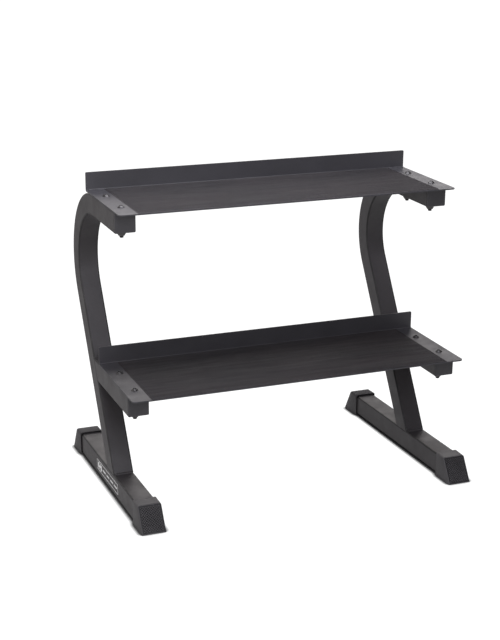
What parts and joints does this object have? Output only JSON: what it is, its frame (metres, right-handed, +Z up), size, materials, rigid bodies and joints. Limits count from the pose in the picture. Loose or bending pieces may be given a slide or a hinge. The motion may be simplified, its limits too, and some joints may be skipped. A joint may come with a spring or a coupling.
{
  "type": "two-tier dumbbell rack",
  "caption": "Two-tier floor rack: a pair of C-bent square-tube side frames joined by folded sheet shelves with back lips and rubber mats.",
  "frame": {"origin": "on the floor, at the middle of the rack's footprint", "axes": "+X along the shelves to the rack's right as seen from the front, +Y towards its back (the shelf lips), +Z up; the front faces -Y"},
  "size_m": [0.848, 0.603, 0.7641],
  "materials": {
    "frame_paint": "satin dark grey powder coat",
    "shelf_paint": "satin dark grey powder coat",
    "mat_rubber": "matt, finely lined",
    "foot_rubber": "matt moulded rubber, knurled ends",
    "cap_plastic": "fine moulded grain",
    "black_steel": "glossy black zinc plate",
    "nylon": "off-white nylon",
    "decal_print": "thin white screen print"
  },
  "bodies": {
    "root": {"left_floor_runner": "frame_paint", "right_floor_runner": "frame_paint", "left_curved_upright": "frame_paint", "right_curved_upright": "frame_paint", "left_lower_arm": "frame_paint", "right_lower_arm": "frame_paint", "left_upright_weld": "frame_paint", "right_upright_weld": "frame_paint", "left_lower_arm_weld": "frame_paint", "right_lower_arm_weld": "frame_paint", "left_front_foot": "foot_rubber", "right_front_foot": "foot_rubber", "left_rear_foot": "foot_rubber", "right_rear_foot": "foot_rubber", "left_upper_arm_cap": "cap_plastic", "right_upper_arm_cap": "cap_plastic", "left_lower_arm_cap": "cap_plastic", "right_lower_arm_cap": "cap_plastic", "upper_shelf": "shelf_paint", "lower_shelf": "shelf_paint", "upper_mat": "mat_rubber", "lower_mat": "mat_rubber", "upper_shelf_bolts": "black_steel", "upper_shelf_washers": "black_steel", "upper_shelf_lock_nuts": "black_steel", "upper_nut_inserts": "nylon", "lower_shelf_bolts": "black_steel", "lower_shelf_washers": "black_steel", "lower_shelf_lock_nuts": "black_steel", "lower_nut_inserts": "nylon", "left_runner_decal": "decal_print"}
  },
  "joints": []
}
